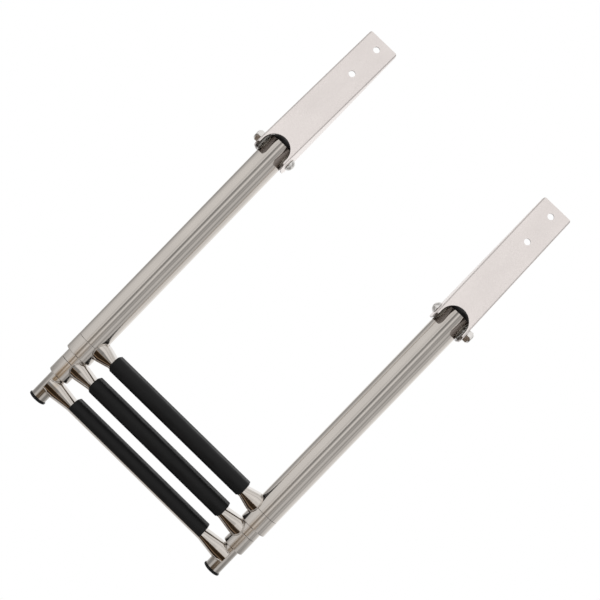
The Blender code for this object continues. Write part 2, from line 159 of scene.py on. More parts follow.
class LadderBracketSettings(bpy.types.PropertyGroup):
    """Sizes of the two channel brackets."""
    width: length("Width", "Across the web", 39.0)
    wall: length("Wall", "Thickness of the bent plate", 2.0)
    bend_radius: length("Bend radius", "Outside of the bend", 3.0)
    rake: angle("Rake", "Lean of the web, top away from the boat", 12.0)
    web_to_pivot: length("Web to pivot", "From the web's outer face to the swing axis", 23.5)
    top: length("Top", "Along the web, above the swing axis", 165.2)
    top_corner: length("Top corners", "Rounding of the top corners", 2.5)
    flange_back: length("Flange back", "From the swing axis to the flanges' back edge", 16.0)
    ear_bottom: length("Ear bottom", "Below the swing axis", 12.0)
    ear_front: length("Ear front", "Rounding of the ears towards the web", 8.0)
    ear_back: length("Ear back", "Rounding of the ears away from the web", 11.0)
    notch_radius: length("Notch radius", "Arch that lets the rail swing through", 16.6)
    notch_top: length("Notch top", "Along the web, above the swing axis", 11.0)
    hole_radius: length("Screw hole radius", "The two holes in the web", 3.75)
    upper_hole: length("Upper hole", "Along the web, above the swing axis", 153.0)
    lower_hole: length("Lower hole", "Along the web, above the swing axis", 114.0)
    edge: length("Edge", "Rounding of the cut edges", 0.4)


class LadderRailSettings(bpy.types.PropertyGroup):
    """Sizes of the telescoping rails and of the swing bolts."""
    outer_wall: length("Outer wall", "Wall of the outer tubes", 1.4)
    middle_wall: length("Middle wall", "Wall of the middle tubes", 1.2)
    inner_wall: length("Inner wall", "Wall of the inner tubes", 1.2)
    clearance: length("Clearance", "Between pieces that slide or touch", 0.3)
    lip: length("Lip", "Height of a collar's inward lip", 2.0)
    lip_clearance: length("Lip clearance", "Between a lip and the tube inside it", 0.45)
    chamfer: length("Chamfer", "Lower edge of a collar", 0.8)
    edge: length("Edge", "Rounding of the tubes' and collars' ends", 0.35)
    bolt_radius: length("Bolt radius", "Shank of the swing bolt", 4.0)
    bolt_clearance: length("Bolt clearance", "Round the shank", 0.4)
    head_height: length("Head height", "Domed head of the swing bolt", 5.6)
    nut_flats: length("Nut", "Across the nut's flats", 13.0)
    nut_hexagon: length("Nut hexagon", "Height of the nut's hexagon", 5.2)
    plug_height: length("Plug height", "Dome of the plug above an outer tube", 8.0)
    nut_collar: length("Nut collar", "Radius of the collar round the nylon ring", 5.7)
    segments: IntProperty(name="Segments", description="Round a rail", default=96, min=12)
    small_segments: IntProperty(name="Small segments", description="Round a bolt", default=48, min=12)


class LadderRungSettings(bpy.types.PropertyGroup):
    """Sizes of the rungs and of their rubber treads."""
    flat_height: length("Flat height", "Where the tube is pressed flat", 12.4)
    flare_start: length("Flare start", "From the middle of the rung", 96.5)
    weld_radius: length("Weld radius", "Bead between rung and rail", 0.9)
    tread_half: length("Tread half length", "From the middle to a tread's end", 96.0)
    tread_radius: length("Tread radius", "Rounding of a tread's front and back", 9.0)
    tread_rise: length("Tread rise", "Tread's middle above the rung's middle", 1.75)
    tread_slot: length("Tread slot", "Opening under the rung", 9.0)
    tread_end: length("Tread ends", "Rounding of a tread's ends", 1.3)
    lip_cut: length("Lip cut", "Slanted cut at a tread's lower corners", 4.5)
    lip_cut_top: length("Lip cut top", "Below the rung's middle", 1.5)
    short_lip: length("Short lip", "Lowest tread's front edge below the rung's middle", 2.85)
    segments: IntProperty(name="Segments", description="Round a rung", default=64, min=16)


class LadderFinishSettings(bpy.types.PropertyGroup):
    """Colours and roughness of the finishes."""
    polished: colour("Polished steel", "Tubes, collars and rungs", (0.72, 0.67, 0.62))
    satin: colour("Satin steel", "Brackets", (0.955, 0.885, 0.855))
    bright: colour("Fasteners", "Bolts, nuts and washers", (0.90, 0.87, 0.84))
    # Painted reflection: the gold glints beside the welds, drawn as a straw colour.
    painted_weld_glint: colour("Painted weld glint", "Steel beside the welds", (0.50, 0.33, 0.16))
    weld: colour("Weld", "Weld beads", (0.62, 0.57, 0.52))
    rubber: colour("Rubber", "Treads", (0.005, 0.005, 0.0052))
    plastic: colour("Plastic", "End caps", (0.005, 0.005, 0.0055))
    nylon: colour("Nylon", "Bushes and washers", (0.80, 0.79, 0.75))
    polished_roughness: factor("Polished roughness", "Tubes, collars and rungs", 0.11)
    satin_roughness: factor("Satin roughness", "Brackets", 0.34)
    bright_roughness: factor("Fastener roughness", "Bolts, nuts and washers", 0.2)
    weld_roughness: factor("Weld roughness", "Weld beads", 0.3)
    rubber_roughness: factor("Rubber roughness", "Treads", 0.6)
    plastic_roughness: factor("Plastic roughness", "End caps", 0.35)
    # Painted shade: how bright the steel inside the channels is drawn, as if in shadow.
    painted_channel_shade: factor("Painted channel shade", "Brightness of the steel inside the channels", 0.4)
    nylon_roughness: factor("Nylon roughness", "Bushes and washers", 0.45)


class LadderStageSettings(bpy.types.PropertyGroup):
    """Camera, floor and light of the studio."""
    camera_place: FloatVectorProperty(name="Camera", description="Where the camera stands", size=3,
                                      default=(0.0326, -1.1755, -0.1037), unit="LENGTH")
    camera_yaw: angle("Yaw", "To the left of the ladder's front", 1.64)
    camera_pitch: angle("Pitch", "Above level", 0.41)
    camera_roll: angle("Roll", "About the line of sight", 44.1)
    lens: FloatProperty(name="Lens", description="Focal length in millimetres", default=66.6)
    floor_drop: length("Floor drop", "From the ladder's foot to the floor", 520.0)
    floor_radius: length("Floor radius", "Half of the floor's width", 740.0)
    floor: colour("Floor", "Floor paint", (0.92, 0.92, 0.92))
    sun: FloatProperty(name="Overhead light", description="Watts per square metre", default=0.3)
    softness: angle("Softness", "Spread of the overhead light", 80.0)


# ---------------------------------------------------------------- modelling

def deselect():
    """Leave edit mode and deselect everything, so that an operator acts on one piece."""
    if bpy.context.mode != "OBJECT":
        bpy.ops.object.mode_set(mode="OBJECT")
    bpy.ops.object.select_all(action="DESELECT")


def activate(piece):
    """Make one piece the selected and active one."""
    deselect()
    piece.select_set(True)
    bpy.context.view_layer.objects.active = piece


def new_piece(name, primitive, **settings):
    """Add a primitive whose place goes into its mesh."""
    deselect()
    primitive(**settings)
    piece = bpy.context.object
    piece.name = name
    piece.data.name = name
    bpy.ops.object.transform_apply(location=True, rotation=True, scale=True)
    return piece


def edit(piece):
    """Start to shape a piece, with all of it selected."""
    activate(piece)
    bpy.ops.object.mode_set(mode="EDIT")
    bpy.ops.mesh.select_all(action="SELECT")


def finish_editing():
    """Go back to object mode."""
    bpy.ops.object.mode_set(mode="OBJECT")


def round_edges(width, steps):
    """In edit mode, round the selected edges."""
    bpy.ops.mesh.bevel(offset=width, segments=steps, affect="EDGES")


def pick(piece, kind, test):
    """In edit mode, select the vertices, edges or faces that pass a test."""
    bpy.ops.mesh.select_mode(type=kind)
    bpy.ops.mesh.select_all(action="DESELECT")
    shape = bmesh.from_edit_mesh(piece.data)
    parts = {"VERT": shape.verts, "EDGE": shape.edges, "FACE": shape.faces}[kind]
    found = [part for part in parts if test(part)]
    if not found:
        raise RuntimeError("nothing to select on " + piece.name)
    for part in found:
        part.select_set(True)
    bmesh.update_edit_mesh(piece.data)


def along_edge(edge, direction):
    """Whether an edge runs along a direction."""
    run = edge.verts[1].co - edge.verts[0].co
    return abs(run.normalized().dot(direction)) > FACING


def apply_modifier(piece, kind, **settings):
    """Add a modifier, set it and apply it."""
    activate(piece)
    modifier = piece.modifiers.new(kind.title(), kind)
    for key, value in settings.items():
        setattr(modifier, key, value)
    bpy.ops.object.modifier_apply(modifier=modifier.name)


def cut(piece, cutter, operation="DIFFERENCE"):
    """Cut a piece with a cutter, which is then removed."""
    apply_modifier(piece, "BOOLEAN", operation=operation, object=cutter, solver="EXACT")
    bpy.data.objects.remove(cutter, do_unlink=True)


def box_piece(name, low, high):
    """Cube stretched between two corners."""
    low, high = Vector(low), Vector(high)
    return new_piece(name, bpy.ops.mesh.primitive_cube_add, size=1.0, location=(low + high) / 2.0,
                     scale=high - low)


def drill(name, centre, radius, depth, direction, segments):
    """Round bar along a direction, to cut a hole with."""
    turn = UP.rotation_difference(Vector(direction)).to_euler()
    return new_piece(name, bpy.ops.mesh.primitive_cylinder_add, vertices=segments, radius=radius,
                     depth=depth, location=centre, rotation=turn)


def turned(name, centre, along, outline, segments):
    """Piece turned about an axis: a circle is extruded and resized from point to point.

    The outline holds (radius, place along the axis). It ends where it starts on a ring, and ends at
    radius 0 on a dome; what stays open is closed with a flat face.
    """
    turn = (0.0, pi / 2.0, 0.0) if abs(along.x) > FACING else (0.0, 0.0, 0.0)
    radius, place = outline[0]
    piece = new_piece(name, bpy.ops.mesh.primitive_circle_add, vertices=segments, radius=radius,
                      location=Vector(centre) + along * place, rotation=turn)
    edit(piece)
    for (radius, place), (next_radius, next_place) in zip(outline, outline[1:]):
        step = along * (next_place - place)
        bpy.ops.mesh.extrude_region_move(TRANSFORM_OT_translate={"value": step})
        change = next_radius / radius
        stretch = [1.0 if abs(part) > FACING else change for part in along]
        middle = Vector(centre) + along * next_place
        bpy.ops.transform.resize(value=stretch, center_override=middle)
    close_up()
    return piece


def close_up():
    """In edit mode, merge what meets, fill what stays open and point the faces outwards, then leave."""
    bpy.ops.mesh.select_mode(type="VERT")
    bpy.ops.mesh.select_all(action="SELECT")
    bpy.ops.mesh.remove_doubles(threshold=MERGE)
    bpy.ops.mesh.fill_holes(sides=0)
    bpy.ops.mesh.select_all(action="SELECT")
    bpy.ops.mesh.normals_make_consistent(inside=False)
    finish_editing()


def soften(piece, edge, steps=3):
    """Round the sharp edges and shade the piece smooth, with flat faces kept flat."""
    if edge > 0.0:
        apply_modifier(piece, "BEVEL", width=edge, segments=steps, limit_method="ANGLE",
                       angle_limit=SMOOTH_ANGLE, miter_outer="MITER_ARC")
    activate(piece)
    bpy.ops.object.shade_smooth_by_angle(angle=SMOOTH_ANGLE)
    apply_modifier(piece, "WEIGHTED_NORMAL", keep_sharp=True)


def mirrored(piece, name):
    """Copy of a left-hand piece for the right-hand side, with its own mesh."""
    activate(piece)
    bpy.ops.object.duplicate(linked=False)
    copy = bpy.context.object
    copy.name = name
    copy.data.name = name
    edit(copy)
    bpy.ops.transform.resize(value=(-1.0, 1.0, 1.0), center_override=(0.0, 0.0, 0.0))
    bpy.ops.mesh.normals_make_consistent(inside=False)
    finish_editing()
    return copy


def place_piece(piece, body, material, nodes):
    """Give a finished piece its material, its body and the nodes that it stands for."""
    piece.data.materials.clear()
    piece.data.materials.append(material)
    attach(piece, body)
    if nodes:
        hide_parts(*nodes)


def place_pair(left, node, edge, body, material):
    """Finish a left-hand piece and its mirrored copy, which stand for the left and right nodes."""
    ending = left.name.rsplit("_", 1)[1]
    right = mirrored(left, "right_{}_{}".format(node, ending))
    for piece, side in ((left, "left_"), (right, "right_")):
        soften(piece, edge)
        place_piece(piece, body, material, [side + node])


# ---------------------------------------------------------------- finishes

class Tree:
    """Node tree that is built from left to right."""

    def __init__(self, tree):
        self.tree = tree

    def node(self, kind, inputs, **settings):
        """Add a node; an input is a value or another node's socket."""
        made = self.tree.nodes.new(kind)
        for key, value in settings.items():
            setattr(made, key, value)
        for key, value in inputs.items():
            if isinstance(value, bpy.types.NodeSocket):
                self.tree.links.new(value, made.inputs[key])
            else:
                made.inputs[key].default_value = value
        return made

    def number(self, operation, *values):
        """Sum on numbers or their sockets."""
        return self.node("ShaderNodeMath", dict(enumerate(values)), operation=operation).outputs[0]

    def vector(self, operation, *values):
        """Sum on vectors or their sockets; gives the node's sockets by name."""
        return self.node("ShaderNodeVectorMath", dict(enumerate(values)), operation=operation).outputs

    def spread(self, value, low, high, start=0.3, stop=0.7):
        """A pattern's middle range carried over to a range of another quantity."""
        inputs = {"Value": value, "From Min": start, "From Max": stop, "To Min": low, "To Max": high}
        return self.node("ShaderNodeMapRange", inputs).outputs["Result"]

    def blend(self, share, first, second, blend_type="MIX"):
        """Mix of two colours or colour sockets."""
        first, second = (tint if isinstance(tint, bpy.types.NodeSocket) else (*tint, 1.0)
                         for tint in (first, second))
        return self.node("ShaderNodeMix", {0: share, 6: first, 7: second}, data_type="RGBA",
                         blend_type=blend_type).outputs[2]

    def ramp(self, value, stops):
        """Colour ramp with soft steps; a stop is (place, brightness or colour)."""
        made = self.node("ShaderNodeValToRGB", {0: value})
        made.color_ramp.interpolation = "EASE"
        while len(made.color_ramp.elements) < len(stops):
            made.color_ramp.elements.new(0.5)
        for element, (place, tint) in zip(made.color_ramp.elements, stops):
            element.position = place
            element.color = (*tint, 1.0) if isinstance(tint, tuple) else (tint, tint, tint, 1.0)
        return made.outputs["Color"]


class Recipe(Tree):
    """Node tree of one finish."""

    def __init__(self, name, roughness, metallic):
        self.material = bpy.data.materials.new(name)
        self.material.use_nodes = True
        super().__init__(self.material.node_tree)
        self.shader = self.tree.nodes["Principled BSDF"]
        self.shader.inputs["Roughness"].default_value = roughness
        self.shader.inputs["Metallic"].default_value = metallic
        self.coordinates = self.node("ShaderNodeTexCoord", {}).outputs["Object"]

    def noise(self, cells, detail, turn=(0.0, 0.0, 0.0)):
        """Noise with so many cells in a metre, the same or different along the three axes."""
        if isinstance(cells, float):
            cells = (cells, cells, cells)
        mapped = self.node("ShaderNodeMapping", {"Vector": self.coordinates, "Rotation": turn,
                                                 "Scale": cells}).outputs["Vector"]
        made = self.node("ShaderNodeTexNoise", {"Vector": mapped, "Scale": 1.0, "Detail": detail})
        return made.outputs["Fac"]

    def mottle(self, pattern, base, darker, lighter):
        """Colour that a pattern makes darker and lighter."""
        return self.blend(self.spread(pattern, 0.0, 1.0), shade(base, darker), shade(base, lighter))

    def surface(self, tone, pattern, smoothest, roughest):
        """Colour, and a roughness that a pattern varies."""
        self.tree.links.new(tone, self.shader.inputs["Base Color"])
        roughness = self.spread(pattern, smoothest, roughest)
        self.tree.links.new(roughness, self.shader.inputs["Roughness"])

    def bump(self, height, strength, distance, below=None):
        """Relief from a pattern, laid over an earlier relief."""
        inputs = {"Height": height, "Strength": strength, "Distance": distance}
        if below is not None:
            inputs["Normal"] = below
        made = self.node("ShaderNodeBump", inputs).outputs["Normal"]
        self.tree.links.new(made, self.shader.inputs["Normal"])
        return made


def shade(base, share):
    """A colour made lighter or darker."""
    return tuple(min(part * share, 1.0) for part in base)


def polished_steel(name, settings, grain, weld_centre, reach):
    """Polished tube with faint drawing lines, wiping marks and a straw-coloured painted reflection
    beside its weld.

    The centre of the weld is how far it lies from the origin along each axis, without signs.
    """
    rough = settings.polished_roughness
    recipe = Recipe(name, rough, 1.0)
    smudge = recipe.noise((38.0, 38.0, 22.0), 3.0)
    lines = recipe.noise(grain, 3.0)
    tone = recipe.mottle(smudge, settings.polished, 0.93, 1.04)
    tone = recipe.blend(recipe.spread(lines, 0.0, 0.5), tone, shade(settings.polished, 0.9))
    # Painted reflection: a straw colour is mixed in near the weld, where the steel shows gold glints.
    folded = recipe.vector("ABSOLUTE", recipe.coordinates)[0]
    away = recipe.vector("DISTANCE", folded, weld_centre)["Value"]
    ragged = recipe.number("ADD", away, recipe.spread(smudge, -4.0 * MM, 4.0 * MM))
    tint = recipe.spread(ragged, 0.6, 0.0, 0.5 * reach, reach)
    tone = recipe.blend(tint, tone, settings.painted_weld_glint)
    recipe.surface(tone, smudge, rough * 0.7, rough * 1.5)
    waves = recipe.bump(recipe.noise((55.0, 55.0, 9.0), 1.0), 0.4, 0.06 * MM)
    recipe.bump(lines, 0.10, 0.02 * MM, waves)
    return recipe.material


def satin_steel(name, settings, rake, web_inside, flange_inside):
    """Brushed plate with grain along the web and wiping marks; the channel's inside is darkened as
    painted shade.
    """
    rough = settings.satin_roughness
    recipe = Recipe(name, rough, 1.0)
    turn = (rake, 0.0, 0.0)
    grain = recipe.noise((2600.0, 2600.0, 26.0), 4.0, turn)
    scratches = recipe.noise((900.0, 900.0, 5.0), 2.0, turn)
    smudge = recipe.noise((30.0, 30.0, 14.0), 3.0)
    tone = recipe.mottle(smudge, settings.satin, 0.95, 1.05)
    tone = recipe.blend(recipe.spread(grain, 0.0, 0.35), tone, shade(settings.satin, 0.9))
    # Painted shade: the steel behind the web's inner face and between the flanges is darkened.
    towards_web = (0.0, -cos(rake), sin(rake))
    depth = recipe.vector("DOT_PRODUCT", recipe.coordinates, towards_web)["Value"]
    across = recipe.node("ShaderNodeSeparateXYZ", {0: recipe.coordinates}).outputs["X"]
    between = recipe.number("COMPARE", recipe.number("ABSOLUTE", across), RAIL_X, flange_inside)
    behind = recipe.number("LESS_THAN", depth, web_inside)
    inside = recipe.number("MULTIPLY", between, behind)
    tone = recipe.blend(inside, tone, shade(settings.satin, settings.painted_channel_shade))
    recipe.surface(tone, grain, rough * 0.8, rough * 1.25)
    coarse = recipe.bump(scratches, 0.15, 0.03 * MM)
    recipe.bump(grain, 0.22, 0.02 * MM, coarse)
    return recipe.material


def bright_steel(name, settings):
    """Tumbled fastener with fine pitting."""
    rough = settings.bright_roughness
    recipe = Recipe(name, rough, 1.0)
    speck = recipe.noise(700.0, 3.0)
    tone = recipe.mottle(recipe.noise(120.0, 2.0), settings.bright, 0.85, 1.08)
    recipe.surface(tone, speck, rough * 0.8, rough * 1.5)
    recipe.bump(speck, 0.2, 0.03 * MM)
    return recipe.material


def weld_metal(name, settings):
    """Weld bead with ripples and heat colours."""
    recipe = Recipe(name, settings.weld_roughness, 1.0)
    ripples = recipe.noise(900.0, 2.0)
    tone = recipe.mottle(recipe.noise(160.0, 2.0), settings.weld, 0.6, 1.35)
    recipe.surface(tone, ripples, 0.2, 0.42)
    recipe.bump(ripples, 0.55, 0.12 * MM)
    return recipe.material


def tread_rubber(name, settings):
    """Matt moulded rubber with fine grain, paler where it is rubbed."""
    rough = settings.rubber_roughness
    recipe = Recipe(name, rough, 0.0)
    recipe.shader.inputs["Specular IOR Level"].default_value = 0.3
    wear = recipe.noise((45.0, 90.0, 90.0), 4.0)
    tone = recipe.mottle(wear, settings.rubber, 0.7, 1.7)
    recipe.surface(tone, wear, rough * 0.85, rough * 1.15)
    recipe.bump(recipe.noise(1500.0, 3.0), 0.35, 0.08 * MM)
    return recipe.material


def cap_plastic(name, settings):
    """Moulded black plastic with a fine spark-eroded texture."""
    rough = settings.plastic_roughness
    recipe = Recipe(name, rough, 0.0)
    recipe.shader.inputs["Specular IOR Level"].default_value = 0.22
    rub = recipe.noise(200.0, 3.0)
    recipe.surface(recipe.mottle(rub, settings.plastic, 1.0, 2.2), rub, rough * 0.8, rough * 1.3)
    recipe.bump(recipe.noise(1900.0, 2.0), 0.3, 0.04 * MM)
    return recipe.material


def bush_nylon(name, settings):
    """Turned white nylon with faint tool marks and clouding."""
    rough = settings.nylon_roughness
    recipe = Recipe(name, rough, 0.0)
    cloud = recipe.noise(150.0, 3.0)
    tone = recipe.mottle(cloud, settings.nylon, 0.93, 1.03)
    recipe.surface(tone, cloud, rough * 0.85, rough * 1.15)
    recipe.bump(recipe.noise((60.0, 60.0, 3200.0), 1.0), 0.2, 0.02 * MM)
    return recipe.material


def floor_paint(name, settings):
    """Flat pale paint, hardly uneven."""
    recipe = Recipe(name, 0.9, 0.0)
    mottle = recipe.noise(6.0, 2.0)
    tone = recipe.blend(mottle, shade(settings.floor, 0.99), settings.floor)
    recipe.surface(tone, mottle, 0.88, 0.92)
    return recipe.material


def finish(context, name, maker, *details):
    """Material of that name, made the first time it is asked for."""
    title = name + "_finish"
    return bpy.data.materials.get(title) or maker(title, context.scene.ladder_finishes, *details)


def nylon(context):
    """White nylon of the bushes and washers."""
    return finish(context, "white_nylon", bush_nylon)


def fastener(context):
    """Bright steel of the bolts, nuts, washers and sleeves."""
    return finish(context, "bright_fastener", bright_steel)


def rail_steel(context, section):
    """Polished steel of a section's rail, with a painted gold reflection beside its own rung."""
    low, high = node_box(RUNG_OF[section] + "_rung")
    weld_centre = (RAIL_X - rail_size(section)[0], 0.0, -(low.z + high.z) / 2.0)
    return finish(context, "polished_stainless_" + section, polished_steel, (1400.0, 1400.0, 6.0),
                  weld_centre, 11.0 * MM)


# ---------------------------------------------------------------- brackets

def tangent_length(radius, corner):
    """How far from a corner an arc of that radius meets the corner's sides."""
    return radius / tan(corner / 2.0)


def lean(piece, rake):
    """Lean a piece back about the swing axis."""
    activate(piece)
    piece.rotation_euler = (-rake, 0.0, 0.0)
    bpy.ops.object.transform_apply(location=False, rotation=True, scale=False)


def bent_plate(name, x, settings):
    """Plate bent to a channel: a box without back, top and bottom, its front corners rounded."""
    front = -settings.web_to_pivot
    half = settings.width / 2.0
    plate = box_piece(name, (x - half, front, -settings.width),
                      (x + half, front + settings.width + settings.wall, settings.top + settings.wall))
    edit(plate)
    pick(plate, "FACE", lambda face: face.normal.y > FACING or abs(face.normal.z) > FACING)
    bpy.ops.mesh.delete(type="FACE")
    pick(plate, "EDGE", lambda edge: along_edge(edge, UP) and edge.verts[0].co.y < front + MERGE)
    round_edges(settings.bend_radius, BEND_STEPS)
    finish_editing()
    apply_modifier(plate, "SOLIDIFY", thickness=settings.wall, offset=-1.0, use_even_offset=True)
    lean(plate, settings.rake)
    return plate


def side_shape(x, settings):
    """Side view of a bracket as a cutter: raked front, upright back and rounded ears."""
    reach = settings.width
    high = settings.top + settings.width
    shape = box_piece("side_shape", (x - reach, -2.0 * reach, -settings.ear_bottom),
                      (x + reach, settings.flange_back, high))
    front = Vector((0.0, -cos(settings.rake), sin(settings.rake)))
    edit(shape)
    bpy.ops.mesh.bisect(plane_co=front * (settings.web_to_pivot + SKIN), plane_no=front,
                        use_fill=True, clear_outer=True)
    bottom = MERGE - settings.ear_bottom
    for radius, corner, behind in ((settings.ear_back, pi / 2.0, True),
                                   (settings.ear_front, pi / 2.0 - settings.rake, False)):
        pick(shape, "EDGE", lambda edge: along_edge(edge, ALONG_RUNGS)
             and edge.verts[0].co.z < bottom and (edge.verts[0].co.y > 0.0) == behind)
        round_edges(tangent_length(radius, corner), EAR_STEPS)
    finish_editing()
    return shape


def arch(name, low, high, radius, segments, rake):
    """Box with its two top edges rounded, leaned like the web; seen from the front it is an arch."""
    shape = box_piece(name, low, high)
    edit(shape)
    pick(shape, "EDGE", lambda edge: along_edge(edge, Vector((0.0, 1.0, 0.0)))
         and edge.verts[0].co.z > high[2] - MERGE)
    round_edges(radius, segments)
    finish_editing()
    lean(shape, rake)
    return shape


class LADDER_OT_brackets(bpy.types.Operator):
    """Bend, cut and finish the two channel brackets"""
    bl_idname = "ladder.brackets"
    bl_label = "Brackets"

    def execute(self, context):
        settings = context.scene.ladder_brackets
        rails = context.scene.ladder_rails
        x = -RAIL_X
        half = settings.width / 2.0
        bracket = bent_plate("left_bracket_steel", x, settings)
        cut(bracket, side_shape(x, settings), "INTERSECT")
        reach = settings.width
        outside = half + SKIN / 2.0
        top = arch("top_shape", (x - outside, -reach, -2.0 * reach), (x + outside, reach, settings.top),
                   settings.top_corner, BEND_STEPS, settings.rake)
        cut(bracket, top, "INTERSECT")
        notch = arch("notch_shape",
                     (x - settings.notch_radius, -settings.web_to_pivot - settings.wall, -reach),
                     (x + settings.notch_radius, 2.0 * settings.wall - settings.web_to_pivot,
                      settings.notch_top),
                     settings.notch_radius - MERGE, ARCH_STEPS, settings.rake)
        cut(bracket, notch)
        for height in (settings.upper_hole, settings.lower_hole):
            hole = drill("screw_drill", (x, settings.wall / 2.0 - settings.web_to_pivot, height),
                         settings.hole_radius, 2.0 * settings.wall, (0.0, 1.0, 0.0),
                         rails.small_segments)
            lean(hole, settings.rake)
            cut(bracket, hole)
        cut(bracket, drill("bolt_drill", (x, 0.0, 0.0), rails.bolt_radius + rails.bolt_clearance,
                           2.0 * settings.width, ALONG_RUNGS, rails.small_segments))
        skin = settings.wall / 2.0
        material = finish(context, "satin_stainless", satin_steel, settings.rake,
                          settings.web_to_pivot - skin, half - skin)
        place_pair(bracket, "bracket", settings.edge, "brackets", material)
        return {"FINISHED"}


# ---------------------------------------------------------------- swing bolts

def dome(radius, height, base, steps):
    """Outline of a domed head from its edge to its middle, rising along the axis."""
    ball = (radius ** 2 + height ** 2) / (2.0 * height)
    opening = asin(radius / ball)
    points = []
    for step in range(steps + 1):
        lean_angle = opening * (1.0 - step / steps)
        points.append((ball * sin(lean_angle), base + height - ball * (1.0 - cos(lean_angle))))
    return points


class LADDER_OT_swing_bolts(bpy.types.Operator):
    """Turn the swing bolts, their lock nuts, washers and sleeves"""
    bl_idname = "ladder.swing_bolts"
    bl_label = "Swing bolts"

    def execute(self, context):
        settings = context.scene.ladder_rails
        centre = Vector((-RAIL_X, 0.0, 0.0))
        round_bolt = settings.small_segments
        self.make_bolt(context, centre, settings, round_bolt)
        self.make_nut(context, centre, settings, round_bolt)
        bore = settings.bolt_radius + settings.bolt_clearance
        for node, body in (("nut_washer", "brackets"), ("pivot_sleeve", "outer_section"),
                           ("inner_pivot_washer", "outer_section"),
                           ("outer_pivot_washer", "outer_section")):
            low, high = node_box("left_" + node)
            radius = (high.z - low.z) / 2.0
            start, stop = low.x - centre.x, high.x - centre.x
            plain = node in ("nut_washer", "pivot_sleeve")
            ending, slot = ("steel", "bright_fastener") if plain else ("nylon", "white_nylon")
            ring = turned("left_{}_{}".format(node, ending), centre, ALONG_RUNGS,
                          [(bore, start), (radius, start), (radius, stop), (bore, stop), (bore, start)],
                          round_bolt)
            material = fastener(context) if plain else nylon(context)
            place_pair(ring, node, TURNED_EDGE, body, material)
        return {"FINISHED"}

    def make_bolt(self, context, centre, settings, segments):
        """Round head towards the rungs, plain shank and a chamfered end."""
        low, high = node_box("left_pivot_bolt")
        head_radius = (high.z - low.z) / 2.0
        head_base = high.x - centre.x - settings.head_height
        end = low.x - centre.x
        shank = settings.bolt_radius
        outline = [(shank - BOLT_POINT, end), (shank, end + BOLT_POINT), (shank, head_base)]
        outline += dome(head_radius, settings.head_height, head_base, HEAD_STEPS)
        bolt = turned("left_pivot_bolt_steel", centre, ALONG_RUNGS, outline, segments)
        place_pair(bolt, "pivot_bolt", SOFT_EDGE, "brackets", fastener(context))

    def make_nut(self, context, centre, settings, segments):
        """Hexagon with turned corners and the plain collar that holds its nylon ring."""
        low, high = node_box("left_pivot_nut")
        inner, outer = high.x - centre.x, low.x - centre.x
        hexagon_end = inner - settings.nut_hexagon
        flats = settings.nut_flats / 2.0
        corner = flats / cos(pi / 6.0)
        middle = centre + ALONG_RUNGS * ((inner + hexagon_end) / 2.0)
        nut = drill("left_pivot_nut_steel", middle, corner, settings.nut_hexagon, ALONG_RUNGS, 6)
        wide = corner + MM
        slope = tan(pi / 6.0)
        more = MM * slope + (corner - flats) * slope
        blank = turned("nut_blank", centre, ALONG_RUNGS,
                       [(flats, hexagon_end - MERGE), (wide, hexagon_end + more),
                        (wide, inner - more), (flats, inner + MERGE)], segments)
        cut(nut, blank, "INTERSECT")
        collar = turned("nut_collar", centre, ALONG_RUNGS,
                        [(settings.nut_collar, hexagon_end + MM),
                         (settings.nut_collar, outer + STEM_CHAMFER),
                         (settings.nut_collar - STEM_CHAMFER, outer)], segments)
        cut(nut, collar, "UNION")
        bore = settings.bolt_radius + settings.bolt_clearance
        cut(nut, drill("nut_drill", middle, bore, 4.0 * settings.nut_hexagon, ALONG_RUNGS, segments))
        place_pair(nut, "pivot_nut", TURNED_EDGE, "brackets", fastener(context))


# ---------------------------------------------------------------- rails

def wall_of(settings, section):
    """Wall thickness of a section's tube."""
    return getattr(settings, section + "_wall")


def ring_size(node):
    """Radius, bottom and top of a ring round the right rail."""
    low, high = node_box("right_" + node)
    return (high.x - low.x) / 2.0, low.z, high.z


def rail_ring(node, ending, outline, context):
    """Left-hand ring turned round the rail's axis."""
    segments = context.scene.ladder_rails.segments
    return turned("left_{}_{}".format(node, ending), (-RAIL_X, 0.0, 0.0), UP, outline, segments)


class LADDER_OT_tubes(bpy.types.Operator):
    """Draw the three tubes of each rail and drill the outer ones for the swing bolts"""
    bl_idname = "ladder.tubes"
    bl_label = "Tubes"

    def execute(self, context):
        settings = context.scene.ladder_rails
        for section in SECTIONS:
            radius, top, bottom = rail_size(section)
            bore = radius - wall_of(settings, section)
            tube = rail_ring(section + "_tube", "steel",
                             [(radius, bottom), (radius, top), (bore, top), (bore, bottom),
                              (radius, bottom)], context)
            if section == "outer":
                hole = settings.bolt_radius + settings.bolt_clearance
                cut(tube, drill("rail_drill", (-RAIL_X, 0.0, 0.0), hole, 4.0 * radius, ALONG_RUNGS,
                                settings.small_segments))
            place_pair(tube, section + "_tube", settings.edge, BODY_OF[section],
                       rail_steel(context, section))
        return {"FINISHED"}


